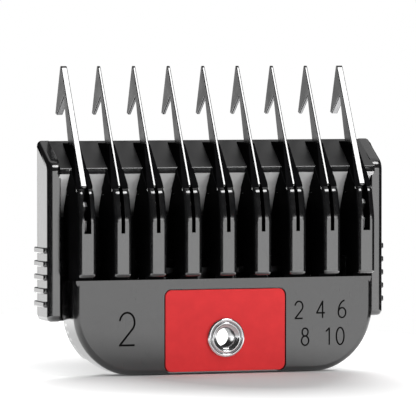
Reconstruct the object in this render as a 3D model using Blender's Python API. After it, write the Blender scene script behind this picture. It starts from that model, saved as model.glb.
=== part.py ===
"""Clip-on clipper guard comb: moulded body, nine steel tines and a sprung rear hook.

Frame: X across the comb, Y from the front face towards the blade behind it, Z up along
the tines. The origin is the centre of the flat strip that the body rests on.
Every length is in metres; MM turns the millimetres of the drawing into metres.
"""

from math import cos, pi, radians, sin

import bmesh
import bpy
from mathutils import Vector

MM = 0.001

# Frame: the plate's front face lies this far in front of the origin.
FRONT = -1.2 * MM

# A cutter runs this far past the surface it opens, and a joined shape bites this deep
CLEAR = 1.0 * MM
BITE = 0.3 * MM

# Lower plate
PLATE_HALF_W = 23.9 * MM
PLATE_TOP = 14.35 * MM
PLATE_T = 4.6 * MM
PLATE_CORNER_R = 9.6 * MM
PLATE_TOP_R = 0.5 * MM

# Tines and the nine pillars that hold them
TINE_COUNT = 9
TINE_PITCH = 5.57 * MM
INNER_TINE_T = 0.50 * MM
OUTER_TINE_T = 1.00 * MM
SLOT_GAP = 0.05 * MM
PILLAR_HALF_W = 1.4 * MM
FIN_HALF_W = 1.15 * MM
PILLAR_FRONT = FRONT - 1.45 * MM
PILLAR_BOTTOM = 14.8 * MM
PILLAR_FOOT_R = 0.4 * MM
PILLAR_ROOT_Y = FRONT + 3.6 * MM
PILLAR_ROOT_BOTTOM = 13.6 * MM
PILLAR_EDGE_TOP = 23.6 * MM
SHOULDER_Y = FRONT - 0.5 * MM
SHOULDER_Z = 27.6 * MM
FIN_BOTTOM = 17.3 * MM
SLOT_BOTTOM = 21.4 * MM
SLOT_BACK_Y = FRONT + 3.3 * MM

# Cross pin moulded into each pillar, through the tine's eye
PIN_R = 0.60 * MM
PIN_Y = FRONT + 1.55 * MM
PIN_Z = 25.2 * MM
PIN_HALF_L = 1.05 * MM
PIN_GAP = 0.05 * MM

# Deck that slopes up from its front lip to its rear edge
LIP_Y = FRONT + 2.6 * MM
LIP_TOP = 31.1 * MM
LIP_BOTTOM = 30.2 * MM
DECK_BACK_Y = FRONT + 9.4 * MM
DECK_TOP = 35.1 * MM
DECK_EDGE_R = 0.4 * MM
DECK_CREST_Y = DECK_BACK_Y - 0.3 * MM
HOOD_HALF_W_FRONT = 1.33 * MM
HOOD_HALF_W_BACK = 0.72 * MM
HOOD_CREST_HALF_W = 0.62 * MM
HOOD_INSET = 0.3 * MM

# Rear face that the blade lies against
SEAT_Y = FRONT + 7.4 * MM
SEAT_TOP = 28.0 * MM
WEB_FRONT = FRONT + 5.8 * MM
WEB_CURVE_START = 23.4 * MM
WEB_CURVE_HANDLE = 26.3 * MM
PANEL_FRONT = FRONT + 6.6 * MM

# Side walls with finger grips
WALL_OUTER = 26.9 * MM
WALL_INNER = 24.9 * MM
WALL_FRONT = FRONT + 3.42 * MM
WALL_BACK = FRONT + 9.5 * MM
WALL_BOTTOM = 8.05 * MM
WALL_CORNER = 0.6 * MM
GRIP_COUNT = 5
GRIP_PITCH = 2.02 * MM
GRIP_FIRST_Z = 10.65 * MM
GRIP_H = 0.9 * MM
GRIP_PROUD = 0.45 * MM
GRIP_FRONT = WALL_FRONT + 0.9 * MM
GRIP_BACK = WALL_BACK - 0.3 * MM

# Colour plate in its pocket
POCKET_HALF_W = 9.7 * MM
POCKET_BOTTOM = 0.3 * MM
POCKET_TOP = 12.85 * MM
POCKET_DEPTH = 1.2 * MM
POCKET_R = 1.2 * MM
PLATE_GAP = 0.12 * MM

# Hollow rivet through the colour plate, and its washer
RIVET_Z = 5.45 * MM
RIVET_BORE_R = 1.42 * MM
RIVET_BARREL_R = 1.95 * MM
RIVET_FLANGE_R = 2.97 * MM
RIVET_HEAD_H = 0.5 * MM
RIVET_BACK_Y = FRONT + 3.7 * MM
RIVET_GAP = 0.08 * MM
RECESS_R = 4.4 * MM
RECESS_FLOOR_Y = FRONT + 2.6 * MM
WASHER_R = 3.6 * MM
WASHER_T = 0.4 * MM

# Sliding hook, return springs and cover behind the plate; the hook slides down 5.5 mm
SLIDE_HALF_W = 12.0 * MM
SLIDE_FRONT = FRONT + 4.75 * MM
SLIDE_T = 0.8 * MM
SLIDE_TOP = 15.9 * MM
SLIDE_BOTTOM = 0.5 * MM
HOOK_HALF_W = 7.0 * MM
HOOK_BACK_Y = FRONT + 11.6 * MM
HOOK_LIP_TOP = 4.2 * MM
HOOK_BEND = 0.3 * MM
WINDOW_HALF_W = 4.4 * MM
WINDOW_BOTTOM = 3.4 * MM
WINDOW_TOP = 13.2 * MM
WINDOW_R = 1.0 * MM
SPRING_X = 8.2 * MM
SPRING_R = 1.2 * MM
SPRING_WIRE_R = 0.18 * MM
SPRING_TURNS = 8
SPRING_STEPS = 14
SPRING_SIDES = 6
SPRING_Y = FRONT + 5.15 * MM
SPRING_GROOVE_Y = FRONT + 3.6 * MM
SPRING_SLOT_HALF_W = 1.5 * MM
LUG_BOTTOM = 4.3 * MM
LUG_TOP = 5.3 * MM
LUG_HALF_W = 1.2 * MM
SPRING_SLOT_TOP = 15.0 * MM
SPRING_SLOT_BOTTOM = 3.9 * MM
SPRING_GAP = 0.1 * MM
GUIDE_PIN_R = 0.45 * MM
GUIDE_PIN_TOP = LUG_TOP + 2.6 * MM
RAIL_INNER = 12.3 * MM
RAIL_W = 1.0 * MM
OUTER_RAIL_INNER = 16.0 * MM
RAIL_FRONT_UPPER = FRONT + 5.9 * MM
RAIL_TOP = 18.9 * MM
RAIL_BOTTOM = 1.6 * MM
COVER_FRONT = FRONT + 6.45 * MM
COVER_T = 0.8 * MM
COVER_HALF_W = 15.7 * MM
COVER_BOTTOM = 2.6 * MM
COVER_TOP = 14.0 * MM
COVER_NECK_HALF_W = 11.9 * MM
COVER_WINDOW_BOTTOM = 2.0 * MM
COVER_WINDOW_TOP = 9.6 * MM
COVER_NECK_TOP = 17.1 * MM
SCREW_X = 14.6 * MM
SCREW_Z = (4.3 * MM, 12.3 * MM)
SCREW_R = 0.55 * MM
SCREW_HEAD_R = 1.0 * MM
SCREW_HEAD_H = 0.45 * MM
SCREW_LENGTH = 3.0 * MM
SCREW_GAP = 0.08 * MM
BOSS_HALF_W = 1.6 * MM
BOSS_HALF_H = 1.3 * MM

ROUND_STEPS = 24


def clear_scene():
    for obj in list(bpy.data.objects):
        bpy.data.objects.remove(obj, do_unlink=True)


def make_material(name, color, roughness, metallic):
    material = bpy.data.materials.new(name)
    material.use_nodes = True
    shader = material.node_tree.nodes["Principled BSDF"]
    shader.inputs["Base Color"].default_value = (*color, 1.0)
    shader.inputs["Roughness"].default_value = roughness
    shader.inputs["Metallic"].default_value = metallic
    material.diffuse_color = (*color, 1.0)
    return material


def object_from_bmesh(name, bm, material=None):
    bmesh.ops.recalc_face_normals(bm, faces=bm.faces)
    mesh = bpy.data.meshes.new(name)
    bm.to_mesh(mesh)
    bm.free()
    obj = bpy.data.objects.new(name, mesh)
    bpy.context.scene.collection.objects.link(obj)
    if material is not None:
        mesh.materials.append(material)
    return obj


def prism(name, outline, place, low, high, material=None):
    """Extrude a closed outline between two planes; place(u, v, w) gives a point."""
    bm = bmesh.new()
    ring_low = [bm.verts.new(place(u, v, low)) for u, v in outline]
    ring_high = [bm.verts.new(place(u, v, high)) for u, v in outline]
    bm.faces.new(ring_low)
    bm.faces.new(ring_high[::-1])
    count = len(outline)
    for i in range(count):
        j = (i + 1) % count
        bm.faces.new((ring_low[j], ring_low[i], ring_high[i], ring_high[j]))
    return object_from_bmesh(name, bm, material)


def prism_x(name, outline_yz, x_low, x_high, material=None):
    return prism(name, outline_yz, lambda y, z, x: (x, y, z), x_low, x_high, material)


def prism_y(name, outline_xz, y_low, y_high, material=None):
    return prism(name, outline_xz, lambda x, z, y: (x, y, z), y_low, y_high, material)


def box(name, low, high, material=None):
    outline = [(low[0], low[2]), (high[0], low[2]), (high[0], high[2]), (low[0], high[2])]
    return prism_y(name, outline, low[1], high[1], material)


def circle(cx, cy, radius, steps=ROUND_STEPS):
    angles = [2 * pi * i / steps for i in range(steps)]
    return [(cx + radius * cos(a), cy + radius * sin(a)) for a in angles]


def arc(cx, cy, radius, start, end, steps):
    angles = [radians(start + (end - start) * i / steps) for i in range(steps + 1)]
    return [(cx + radius * cos(a), cy + radius * sin(a)) for a in angles]


def rounded_outline(half_w, bottom, top, bottom_r, top_r, steps=5):
    """Outline of a plate in X and Z with two corner radii, anticlockwise."""
    points = arc(half_w - bottom_r, bottom + bottom_r, bottom_r, -90, 0, steps)
    points += arc(half_w - top_r, top - top_r, top_r, 0, 90, steps)
    points += arc(-half_w + top_r, top - top_r, top_r, 90, 180, steps)
    points += arc(-half_w + bottom_r, bottom + bottom_r, bottom_r, 180, 270, steps)
    return points


def bezier(p0, p1, p2, steps):
    """Points of a quadratic curve from p0 to p2 with handle p1."""
    points = []
    for i in range(steps + 1):
        t = i / steps
        weights = ((1 - t) ** 2, 2 * t * (1 - t), t ** 2)
        points.append(tuple(sum(w * p[k] for w, p in zip(weights, (p0, p1, p2))) for k in (0, 1)))
    return points


def apply_boolean(target, tool, operation):
    """Join or cut target with tool, keep the result as target's mesh, drop the tool."""
    modifier = target.modifiers.new(operation, "BOOLEAN")
    modifier.operation = operation
    modifier.solver = "EXACT"
    modifier.object = tool
    bpy.context.view_layer.update()
    evaluated = target.evaluated_get(bpy.context.evaluated_depsgraph_get())
    mesh = bpy.data.meshes.new_from_object(evaluated)
    target.modifiers.remove(modifier)
    old = target.data
    target.data = mesh
    bpy.data.meshes.remove(old)
    mesh.name = target.name
    bpy.data.objects.remove(tool, do_unlink=True)


def join(target, *tools):
    for tool in tools:
        apply_boolean(target, tool, "UNION")


def cut(target, *tools):
    for tool in tools:
        apply_boolean(target, tool, "DIFFERENCE")


def tine_positions():
    middle = (TINE_COUNT - 1) / 2
    return [(i - middle) * TINE_PITCH for i in range(TINE_COUNT)]


def tine_thickness(index):
    return OUTER_TINE_T if index in (0, TINE_COUNT - 1) else INNER_TINE_T


def yz(*pairs):
    """Profile points in millimetres, Y counted from the plate's front face."""
    return [(FRONT + y * MM, z * MM) for y, z in pairs]


def pillar_profile():
    """Upright face, sloping shoulder with the deck behind it, and a root in the plate."""
    foot_z = PILLAR_BOTTOM + PILLAR_FOOT_R
    foot = arc(PILLAR_FRONT + PILLAR_FOOT_R, foot_z, PILLAR_FOOT_R, 270, 180, 3)
    face = [(PILLAR_FRONT, PILLAR_EDGE_TOP), (SHOULDER_Y, SHOULDER_Z)]
    top = yz((0.2, 28.6), (3.2, 31.3), (3.6, 27))
    root_front = FRONT + 0.7 * MM
    root = [(PILLAR_ROOT_Y, PILLAR_ROOT_BOTTOM), (root_front, PILLAR_ROOT_BOTTOM)]
    return foot + face + top + root + [(root_front, PILLAR_BOTTOM)]


def fin_profile():
    """Thin rib behind a pillar, from its foot up to the underside of the deck."""
    foot = [(LIP_Y, FIN_BOTTOM), (SEAT_Y, FIN_BOTTOM), (SEAT_Y, SEAT_TOP)]
    return foot + yz((9.3, 34.9), (5, 32), (2.6, 29))


def deck_profile():
    """Sloping deck, its front lip, and the web that curves down behind the fins."""
    slope = [(LIP_Y, LIP_BOTTOM), (LIP_Y, LIP_TOP)]
    rear = [(DECK_CREST_Y, DECK_TOP), (DECK_BACK_Y + 0.1 * MM, DECK_TOP - DECK_EDGE_R)]
    seat = [(SEAT_Y, SEAT_TOP), (SEAT_Y, FIN_BOTTOM), (WEB_FRONT, FIN_BOTTOM)]
    start = (WEB_FRONT, WEB_CURVE_START)
    handle = (WEB_FRONT, WEB_CURVE_HANDLE)
    underside = bezier(start, handle, (LIP_Y + BITE, LIP_BOTTOM), 6)
    return slope + rear + seat + underside


def wall_profile():
    """One side wall; its top edge carries on the slope of the deck."""
    slope = (DECK_TOP - LIP_TOP) / (DECK_CREST_Y - LIP_Y)
    front_top = LIP_TOP + slope * (WALL_FRONT - LIP_Y)
    return [
        (WALL_FRONT, WALL_BOTTOM + WALL_CORNER),
        (WALL_FRONT, front_top),
        (DECK_CREST_Y, DECK_TOP),
        (WALL_BACK, DECK_TOP - DECK_EDGE_R),
        (WALL_BACK, WALL_BOTTOM + WALL_CORNER),
        (WALL_BACK - WALL_CORNER, WALL_BOTTOM),
        (WALL_FRONT + WALL_CORNER, WALL_BOTTOM),
    ]


def hood(x_mid):
    """Gusset that rises from a pillar's shoulder to the deck's rear edge around a tine."""
    foot_front = (HOOD_HALF_W_FRONT, LIP_Y + HOOD_INSET, LIP_TOP - 2 * HOOD_INSET)
    foot_back = (HOOD_HALF_W_BACK, DECK_BACK_Y - 0.4 * MM, DECK_TOP - 0.4 * MM)
    crest_back = (HOOD_CREST_HALF_W, FRONT + 6.3 * MM, DECK_TOP - 0.1 * MM)
    crest_front = (HOOD_CREST_HALF_W, FRONT + 0.6 * MM, 28.5 * MM)
    shoulder = (HOOD_HALF_W_FRONT, FRONT - 0.1 * MM, SHOULDER_Z)
    root = (HOOD_HALF_W_FRONT, FRONT + 4.5 * MM, 27.0 * MM)
    rear = (HOOD_HALF_W_BACK, FRONT + 8.4 * MM, 33.0 * MM)
    bm = bmesh.new()
    for x, y, z in (foot_front, foot_back, crest_back, crest_front, shoulder, root, rear):
        bm.verts.new((x_mid - x, y, z))
        bm.verts.new((x_mid + x, y, z))
    bmesh.ops.convex_hull(bm, input=bm.verts)
    loose = [v for v in bm.verts if not v.link_faces]
    bmesh.ops.delete(bm, geom=loose, context="VERTS")
    return object_from_bmesh("hood", bm)


def make_body(material):
    outline = rounded_outline(PLATE_HALF_W, 0, PLATE_TOP, PLATE_CORNER_R, PLATE_TOP_R, 8)
    body = prism_y("comb_body", outline, FRONT, FRONT + PLATE_T, material)
    join(body, prism_x("deck", deck_profile(), -WALL_INNER - BITE, WALL_INNER + BITE))
    for sign in (-1, 1):
        sides = sorted((sign * WALL_INNER, sign * WALL_OUTER))
        join(body, prism_x("wall", wall_profile(), *sides))
        add_grips(body, sign)
        add_rails(body, sign)
    for x_mid in tine_positions():
        join(body, prism_x("fin", fin_profile(), x_mid - FIN_HALF_W, x_mid + FIN_HALF_W))
        join(body, prism_x("pillar", pillar_profile(), x_mid - PILLAR_HALF_W, x_mid + PILLAR_HALF_W))
        join(body, hood(x_mid))
    cut_body(body)
    return body


def add_grips(body, sign):
    for i in range(GRIP_COUNT):
        z_mid = GRIP_FIRST_Z + i * GRIP_PITCH
        x_sides = sorted((sign * (WALL_OUTER - BITE), sign * (WALL_OUTER + GRIP_PROUD)))
        low = (x_sides[0], GRIP_FRONT, z_mid - GRIP_H / 2)
        high = (x_sides[1], GRIP_BACK, z_mid + GRIP_H / 2)
        join(body, box("grip", low, high))


def add_rails(body, sign):
    """Guide rail, outer rail, screw bosses and the panels that tie them to a wall."""
    back = FRONT + PLATE_T - BITE
    rail_back = COVER_FRONT - 0.1 * MM
    upper_bottom = COVER_TOP + 0.2 * MM
    inner = sorted((sign * RAIL_INNER, sign * (RAIL_INNER + RAIL_W)))
    outer = sorted((sign * OUTER_RAIL_INNER, sign * (OUTER_RAIL_INNER + RAIL_W)))
    join(body, box("rail", (inner[0], back, RAIL_BOTTOM), (inner[1], rail_back, PLATE_TOP)))
    join(body, box("rail", (outer[0], back, RAIL_BOTTOM), (outer[1], SEAT_Y, PLATE_TOP)))
    for x_low, x_high in (inner, outer):
        low = (x_low, RAIL_FRONT_UPPER, upper_bottom)
        join(body, box("upper_rail", low, (x_high, SEAT_Y, RAIL_TOP)))
    tie = sorted((sign * (RAIL_INNER + RAIL_W / 2), sign * (WALL_INNER + BITE)))
    low = (tie[0], PANEL_FRONT, upper_bottom)
    join(body, box("upper_panel", low, (tie[1], SEAT_Y, FIN_BOTTOM + BITE)))
    tie = sorted((sign * (OUTER_RAIL_INNER + RAIL_W / 2), sign * (WALL_INNER + BITE)))
    low = (tie[0], PANEL_FRONT, WALL_BOTTOM)
    join(body, box("side_panel", low, (tie[1], SEAT_Y, upper_bottom + BITE)))
    for z_mid in SCREW_Z:
        x_mid = sign * SCREW_X
        low = (x_mid - BOSS_HALF_W, back, z_mid - BOSS_HALF_H)
        high = (x_mid + BOSS_HALF_W, rail_back, z_mid + BOSS_HALF_H)
        join(body, box("boss", low, high))


def cut_body(body):
    """Pocket, rivet hole, spring grooves, tine slots, pin holes and screw holes."""
    pocket = rounded_outline(POCKET_HALF_W, POCKET_BOTTOM, POCKET_TOP, POCKET_R, POCKET_R)
    cut(body, prism_y("pocket", pocket, FRONT - CLEAR, FRONT + POCKET_DEPTH))
    hole = circle(0, RIVET_Z, RIVET_BARREL_R + RIVET_GAP)
    cut(body, prism_y("rivet_hole", hole, FRONT - CLEAR, FRONT + PLATE_T + CLEAR))
    recess = circle(0, RIVET_Z, RECESS_R)
    cut(body, prism_y("recess", recess, RECESS_FLOOR_Y, FRONT + PLATE_T + CLEAR))
    for sign in (-1, 1):
        x_mid = sign * SPRING_X
        low = (x_mid - SPRING_SLOT_HALF_W, SPRING_GROOVE_Y, LUG_TOP)
        high = (x_mid + SPRING_SLOT_HALF_W, FRONT + PLATE_T + CLEAR, PLATE_TOP + CLEAR)
        cut(body, box("groove", low, high))
        low = (x_mid - LUG_HALF_W, FRONT + PLATE_T - BITE, LUG_BOTTOM)
        high = (x_mid + LUG_HALF_W, COVER_FRONT - 0.1 * MM, LUG_TOP)
        join(body, box("lug", low, high))
        for z_mid in SCREW_Z:
            hole = circle(sign * SCREW_X, z_mid, SCREW_R + SCREW_GAP, 12)
            start = COVER_FRONT - SCREW_LENGTH - 0.2 * MM
            cut(body, prism_y("screw_hole", hole, start, COVER_FRONT + CLEAR))
    for index, x_mid in enumerate(tine_positions()):
        half = tine_thickness(index) / 2 + SLOT_GAP
        above = PILLAR_FRONT - CLEAR
        slot = [(above, SLOT_BOTTOM), (SLOT_BACK_Y, SLOT_BOTTOM)]
        slot += yz((3.3, 27.2), (8.9, 37.5)) + [(above, 37.5 * MM)]
        cut(body, prism_x("tine_slot", slot, x_mid - half, x_mid + half))
        pin = circle(PIN_Y, PIN_Z, PIN_R + PIN_GAP, 16)
        half_l = PIN_HALF_L + PIN_GAP
        cut(body, prism_x("pin_hole", pin, x_mid - half_l, x_mid + half_l))


def make_tines(material):
    """Stamped plates: straight front edge, hooked tip, eye and tail below the deck."""
    outline = yz(
        (10.0, 46.3), (0.45, 28.75), (0.45, 21.65), (2.9, 21.65), (2.9, 27.4), (4.9, 31.2),
        (6.75, 35.2), (8.75, 41.7), (12.15, 38.9), (12.85, 39.1), (10.4, 46.3),
    )
    tines = []
    for index, x_mid in enumerate(tine_positions()):
        half = tine_thickness(index) / 2
        tine = prism_x("tine_%d" % (index + 1), outline, x_mid - half, x_mid + half, material)
        eye = circle(PIN_Y, PIN_Z, PIN_R + PIN_GAP, 16)
        cut(tine, prism_x("eye", eye, x_mid - half - CLEAR, x_mid + half + CLEAR))
        tines.append(tine)
    return tines


def make_pins(material):
    pins = []
    for index, x_mid in enumerate(tine_positions()):
        outline = circle(PIN_Y, PIN_Z, PIN_R, 16)
        name = "tine_pin_%d" % (index + 1)
        pins.append(prism_x(name, outline, x_mid - PIN_HALF_L, x_mid + PIN_HALF_L, material))
    return pins


def make_colour_plate(material):
    half_w = POCKET_HALF_W - PLATE_GAP
    radius = POCKET_R - PLATE_GAP
    bottom = POCKET_BOTTOM + PLATE_GAP
    outline = rounded_outline(half_w, bottom, POCKET_TOP - PLATE_GAP, radius, radius)
    back = FRONT + POCKET_DEPTH - 0.1 * MM
    plate = prism_y("colour_plate", outline, FRONT, back, material)
    hole = circle(0, RIVET_Z, RIVET_BARREL_R + RIVET_GAP)
    cut(plate, prism_y("hole", hole, FRONT - CLEAR, FRONT + PLATE_T))
    return plate


def turned_y(name, profile, z_mid, material, steps=ROUND_STEPS):
    """Ring turned about an axis along Y; profile is a closed loop of (radius, y)."""
    bm = bmesh.new()
    rings = []
    for i in range(steps):
        angle = 2 * pi * i / steps
        rings.append([bm.verts.new((r * cos(angle), y, z_mid + r * sin(angle))) for r, y in profile])
    for i in range(steps):
        ring, following = rings[i], rings[(i + 1) % steps]
        for j in range(len(profile)):
            k = (j + 1) % len(profile)
            bm.faces.new((ring[j], following[j], following[k], ring[k]))
    return object_from_bmesh(name, bm, material)


def make_rivet(material):
    front = FRONT - RIVET_HEAD_H
    head_back = FRONT - 0.06 * MM
    tail_front = RIVET_BACK_Y - 0.45 * MM
    profile = [
        (RIVET_BORE_R, front + 0.9 * MM),
        (RIVET_BORE_R + 0.55 * MM, front + 0.15 * MM),
        (RIVET_BARREL_R + 0.3 * MM, front),
        (RIVET_FLANGE_R - 0.15 * MM, front + 0.2 * MM),
        (RIVET_FLANGE_R, head_back),
        (RIVET_BARREL_R, head_back),
        (RIVET_BARREL_R, tail_front),
        (RIVET_FLANGE_R - 0.3 * MM, tail_front),
        (RIVET_FLANGE_R - 0.4 * MM, RIVET_BACK_Y - 0.1 * MM),
        (RIVET_BARREL_R, RIVET_BACK_Y),
        (RIVET_BORE_R, RIVET_BACK_Y - 0.8 * MM),
    ]
    return turned_y("eyelet", profile, RIVET_Z, material)


def make_washer(material):
    front = RECESS_FLOOR_Y + 0.1 * MM
    back = front + WASHER_T
    inner = RIVET_BARREL_R + RIVET_GAP
    profile = [(inner, front), (WASHER_R, front), (WASHER_R, back), (inner, back)]
    return turned_y("eyelet_washer", profile, RIVET_Z, material)


def make_slide(material):
    """Steel plate with a viewing window, two spring slots and a hook along its foot."""
    corner = 1.2 * MM
    outline = rounded_outline(SLIDE_HALF_W, SLIDE_BOTTOM, SLIDE_TOP, corner, corner)
    slide = prism_y("slide_hook", outline, SLIDE_FRONT, SLIDE_FRONT + SLIDE_T, material)
    window = rounded_outline(WINDOW_HALF_W, WINDOW_BOTTOM, WINDOW_TOP, WINDOW_R, WINDOW_R)
    cut(slide, prism_y("window", window, SLIDE_FRONT - CLEAR, SLIDE_FRONT + SLIDE_T + CLEAR))
    for sign in (-1, 1):
        x_mid = sign * SPRING_X
        low = (x_mid - SPRING_SLOT_HALF_W, SLIDE_FRONT - CLEAR, SPRING_SLOT_BOTTOM)
        high = (x_mid + SPRING_SLOT_HALF_W, SLIDE_FRONT + SLIDE_T + CLEAR, SPRING_SLOT_TOP)
        cut(slide, box("spring_slot", low, high))
    run_top = SLIDE_BOTTOM + SLIDE_T
    foot = [
        (SLIDE_FRONT, SLIDE_BOTTOM),
        (HOOK_BACK_Y - HOOK_BEND, SLIDE_BOTTOM),
        (HOOK_BACK_Y, SLIDE_BOTTOM + HOOK_BEND),
        (HOOK_BACK_Y, HOOK_LIP_TOP),
        (HOOK_BACK_Y - SLIDE_T, HOOK_LIP_TOP),
        (HOOK_BACK_Y - SLIDE_T, run_top),
        (SLIDE_FRONT, run_top),
    ]
    join(slide, prism_x("foot", foot, -HOOK_HALF_W, HOOK_HALF_W))
    return slide


def make_spring(name, x_mid, material):
    """Coil spring along Z from its fixed lug up to the top of the slide's slot."""
    low = LUG_TOP + SPRING_GAP + SPRING_WIRE_R
    high = SPRING_SLOT_TOP - SPRING_GAP - SPRING_WIRE_R
    count = SPRING_TURNS * SPRING_STEPS
    radius = SPRING_R - SPRING_WIRE_R
    centre = Vector((x_mid, SPRING_Y, 0))
    bm = bmesh.new()
    rings = []
    for i in range(count + 1):
        angle = 2 * pi * i / SPRING_STEPS
        outward = Vector((cos(angle), sin(angle), 0))
        middle = centre + outward * radius + Vector((0, 0, low + (high - low) * i / count))
        ring = []
        for j in range(SPRING_SIDES):
            turn = 2 * pi * j / SPRING_SIDES
            offset = outward * cos(turn) + Vector((0, 0, sin(turn)))
            ring.append(bm.verts.new(middle + offset * SPRING_WIRE_R))
        rings.append(ring)
    for ring, following in zip(rings, rings[1:]):
        for j in range(SPRING_SIDES):
            k = (j + 1) % SPRING_SIDES
            bm.faces.new((ring[j], ring[k], following[k], following[j]))
    bm.faces.new(rings[0][::-1])
    bm.faces.new(rings[-1])
    return object_from_bmesh(name, bm, material)


def make_guide_pin(name, x_mid, material):
    """Short pin that stands on the fixed lug and centres the spring's lower end."""
    bm = bmesh.new()
    steps = 12
    heights = (LUG_TOP + SPRING_GAP, GUIDE_PIN_TOP)
    rings = []
    for z in heights:
        points = circle(x_mid, SPRING_Y, GUIDE_PIN_R, steps)
        rings.append([bm.verts.new((x, y, z)) for x, y in points])
    bm.faces.new(rings[0][::-1])
    bm.faces.new(rings[1])
    for j in range(steps):
        k = (j + 1) % steps
        bm.faces.new((rings[0][j], rings[0][k], rings[1][k], rings[1][j]))
    return object_from_bmesh(name, bm, material)


def make_cover(material):
    """Rear plate with a neck between the guide rails, a window and four screw holes."""
    back = COVER_FRONT + COVER_T
    corner = 1.4 * MM
    outline = rounded_outline(COVER_HALF_W, COVER_BOTTOM, COVER_TOP, corner, corner)
    cover = prism_y("rear_cover", outline, COVER_FRONT, back, material)
    neck_foot = COVER_TOP - 3 * MM
    neck = rounded_outline(COVER_NECK_HALF_W, neck_foot, COVER_NECK_TOP, 0.2 * MM, corner)
    join(cover, prism_y("neck", neck, COVER_FRONT, back))
    half_w = WINDOW_HALF_W + 0.6 * MM
    window = rounded_outline(half_w, COVER_WINDOW_BOTTOM, COVER_WINDOW_TOP, 0.8 * MM, corner)
    cut(cover, prism_y("window", window, COVER_FRONT - CLEAR, back + CLEAR))
    for sign in (-1, 1):
        for z_mid in SCREW_Z:
            hole = circle(sign * SCREW_X, z_mid, SCREW_R + SCREW_GAP, 12)
            cut(cover, prism_y("hole", hole, COVER_FRONT - CLEAR, back + CLEAR))
    return cover


def make_screw(name, x_mid, z_mid, material):
    """Slotted screw that passes through the cover into a boss."""
    head_front = COVER_FRONT + COVER_T + 0.06 * MM
    head_back = head_front + SCREW_HEAD_H
    shank = circle(x_mid, z_mid, SCREW_R, 12)
    screw = prism_y(name, shank, COVER_FRONT - SCREW_LENGTH, head_front + 0.2 * MM, material)
    head = circle(x_mid, z_mid, SCREW_HEAD_R, 16)
    join(screw, prism_y("head", head, head_front, head_back))
    low = (x_mid - 2 * SCREW_HEAD_R, head_back - 0.2 * MM, z_mid - 0.14 * MM)
    high = (x_mid + 2 * SCREW_HEAD_R, head_back + CLEAR, z_mid + 0.14 * MM)
    cut(screw, box("drive_slot", low, high))
    return screw


def shade_round(objects):
    for obj in objects:
        obj.data.shade_smooth()
        obj.data.set_sharp_from_angle(angle=radians(40))


def parent_slide_parts(slide):
    """The slide's axis runs along Z through an empty at the middle of the plate."""
    axis = bpy.data.objects.new("slide_axis", None)
    axis.location = (0, SLIDE_FRONT + SLIDE_T / 2, SLIDE_BOTTOM)
    bpy.context.scene.collection.objects.link(axis)
    bpy.context.view_layer.update()
    slide.parent = axis
    slide.matrix_parent_inverse = axis.matrix_world.inverted()


def main():
    clear_scene()
    black = make_material("black_plastic", (0.012, 0.012, 0.013), 0.25, 0.0)
    steel = make_material("tine_steel", (0.66, 0.66, 0.67), 0.2, 1.0)
    red = make_material("red_plastic", (0.60, 0.04, 0.045), 0.4, 0.0)
    chrome = make_material("chrome", (0.86, 0.86, 0.87), 0.08, 1.0)
    spring_steel = make_material("spring_steel", (0.55, 0.55, 0.56), 0.3, 1.0)
    make_body(black)
    make_tines(steel)
    round_parts = [make_rivet(chrome), make_washer(spring_steel)]
    round_parts += make_pins(steel)
    make_colour_plate(red)
    parent_slide_parts(make_slide(steel))
    for sign, side in ((-1, "left"), (1, "right")):
        x_mid = sign * SPRING_X
        round_parts.append(make_spring("return_spring_" + side, x_mid, spring_steel))
        round_parts.append(make_guide_pin("spring_pin_" + side, x_mid, spring_steel))
        for z_mid, level in zip(SCREW_Z, ("lower", "upper")):
            name = "cover_screw_%s_%s" % (side, level)
            round_parts.append(make_screw(name, sign * SCREW_X, z_mid, chrome))
    make_cover(steel)
    shade_round(round_parts)


main()
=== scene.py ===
"""Looks of the clipper guard comb: fine meshes, materials, studio light and camera.

Every length of the drawing is in millimetres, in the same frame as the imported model, and
a finished mesh is scaled to metres. Materials, lights and camera are in metres.
"""

from math import acos, cos, degrees, pi, radians, sin

import bmesh
import bpy
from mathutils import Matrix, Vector


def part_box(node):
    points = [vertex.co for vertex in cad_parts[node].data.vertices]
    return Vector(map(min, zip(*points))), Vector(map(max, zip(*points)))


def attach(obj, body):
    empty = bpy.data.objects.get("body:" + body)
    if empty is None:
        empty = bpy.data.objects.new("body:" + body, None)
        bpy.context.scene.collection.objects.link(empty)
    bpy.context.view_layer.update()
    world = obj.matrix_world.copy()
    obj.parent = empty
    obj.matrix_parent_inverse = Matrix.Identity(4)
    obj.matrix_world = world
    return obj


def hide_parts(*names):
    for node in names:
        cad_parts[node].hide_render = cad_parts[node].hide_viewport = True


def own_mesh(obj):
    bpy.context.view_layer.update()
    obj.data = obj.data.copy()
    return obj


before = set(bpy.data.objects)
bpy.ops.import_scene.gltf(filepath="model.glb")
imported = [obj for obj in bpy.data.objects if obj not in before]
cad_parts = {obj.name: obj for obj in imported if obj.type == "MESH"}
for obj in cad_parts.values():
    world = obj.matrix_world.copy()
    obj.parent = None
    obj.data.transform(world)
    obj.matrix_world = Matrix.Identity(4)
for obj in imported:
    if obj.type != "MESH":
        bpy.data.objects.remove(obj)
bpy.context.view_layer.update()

MM = 0.001


def node_box(node):
    """Lowest and highest corner of a CAD node, in millimetres."""
    low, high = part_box(node)
    return low / MM, high / MM


# The plate's front face; how far a cutter runs past a surface; how deep a joined shape bites
FRONT = node_box("colour_plate")[0].y
CLEAR = 1.0
BITE = 0.3

# Lower plate and the pocket of the colour plate
PLATE_HALF_W = 23.9
PLATE_TOP = 14.35
PLATE_T = 4.6
PLATE_CORNER_R = 9.6
PLATE_EDGE_R = 0.86
RIM_START_X = 20.5
RIM_PROUD = 1.4
RIM_INSET = 0.02
COLOUR_LOW, COLOUR_HIGH = node_box("colour_plate")
PLATE_GAP = 0.17
POCKET_R = 1.2
POCKET_DEPTH = 1.2

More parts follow.
